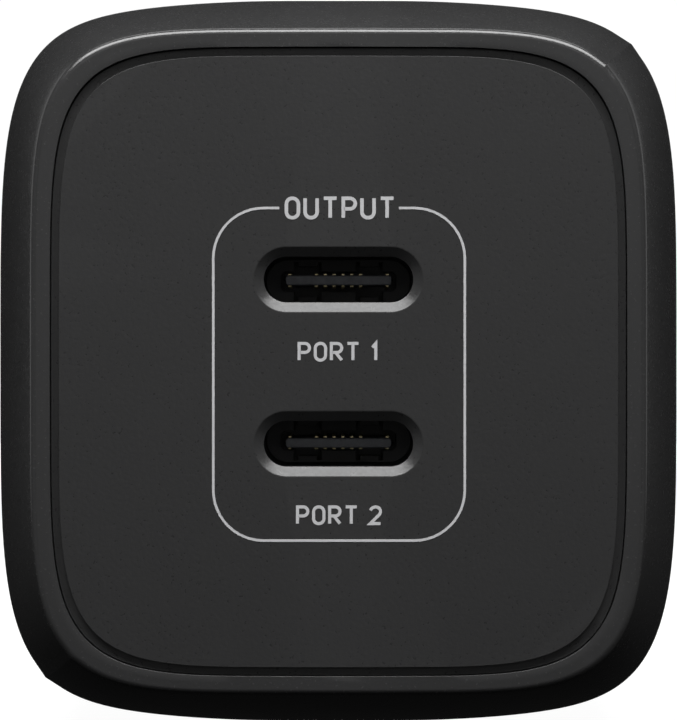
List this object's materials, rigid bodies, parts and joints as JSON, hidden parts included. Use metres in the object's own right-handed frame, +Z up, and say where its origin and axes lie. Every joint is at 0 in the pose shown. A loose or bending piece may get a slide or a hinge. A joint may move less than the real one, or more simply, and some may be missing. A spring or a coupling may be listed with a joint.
{
  "type": "usb wall charger",
  "caption": "Black rounded-box USB-C wall charger with a recessed front panel, stacked sockets and mains blades that fold into its back.",
  "frame": {"origin": "on the surface the charger stands on, under the middle of its body, with the blades folded", "axes": "+X to the right of the charger as its sockets are faced, +Y from the sockets to the wall, +Z up"},
  "size_m": [0.0402, 0.04, 0.0428],
  "materials": {
    "casing": "satin",
    "panel": "matte",
    "rear_shell": "matte",
    "retainer_plastic": "satin",
    "screw_steel": "satin",
    "blade_metal": "satin",
    "spring_bronze": "satin",
    "socket_steel": "satin",
    "socket_plastic": "matte",
    "contact_gold": "satin",
    "board_laminate": "satin",
    "pin_metal": "satin",
    "spreader_metal": "satin",
    "wrap_film": "satin",
    "core_ferrite": "matte",
    "bobbin_plastic": "matte",
    "winding_tape": "gloss",
    "capacitor_can": "gloss",
    "capacitor_rubber": "matte",
    "choke_wire": "gloss",
    "film_box": "gloss",
    "disc_ceramic": "gloss",
    "fuse_ceramic": "satin",
    "chip_plastic": "matte",
    "pad_silicone": "matte",
    "opto_plastic": "matte",
    "polymer_can": "gloss"
  },
  "bodies": {
    "housing": {"outer_sleeve": "casing", "front_panel": "panel", "rear_cover": "rear_shell", "blade_retainer": "retainer_plastic", "retainer_screws": "screw_steel", "board_screws": "screw_steel", "contact_spring_left": "spring_bronze", "contact_spring_right": "spring_bronze", "port_1_shell": "socket_steel", "port_1_insulator": "socket_plastic", "port_1_mid_plate": "screw_steel", "port_1_contacts": "contact_gold", "port_2_shell": "socket_steel", "port_2_insulator": "socket_plastic", "port_2_mid_plate": "screw_steel", "port_2_contacts": "contact_gold", "output_board": "board_laminate", "main_board": "board_laminate", "board_link_pins": "pin_metal", "heat_spreader": "spreader_metal", "insulating_wrap": "wrap_film", "transformer_core_front": "core_ferrite", "transformer_core_rear": "core_ferrite", "transformer_bobbin": "bobbin_plastic", "transformer_winding": "winding_tape", "bulk_capacitor_1": "capacitor_can", "bulk_capacitor_2": "capacitor_can", "bulk_capacitor_3": "capacitor_can", "bulk_capacitor_bungs": "capacitor_rubber", "choke_core": "core_ferrite", "choke_winding": "choke_wire", "suppression_capacitor": "film_box", "safety_capacitor": "disc_ceramic", "fuse": "fuse_ceramic", "fuse_caps": "pin_metal", "bridge_rectifier": "chip_plastic", "power_switch": "chip_plastic", "thermal_pad": "pad_silicone", "switch_heatsink": "spreader_metal", "optocoupler": "opto_plastic", "primary_controller": "chip_plastic", "output_rectifier": "chip_plastic", "output_inductor_1": "core_ferrite", "output_inductor_2": "core_ferrite", "output_capacitors": "polymer_can", "protocol_chips": "chip_plastic"},
    "blades": {"blade_carrier": "rear_shell", "blade_left": "blade_metal", "blade_right": "blade_metal"}
  },
  "joints": [
    {"name": "blade_fold", "type": "hinge", "parent": "housing", "child": "blades", "pos_m": [0, 0.0163, 0.0309], "axis": [1, 0, 0], "range_deg": [0, 90]}
  ]
}
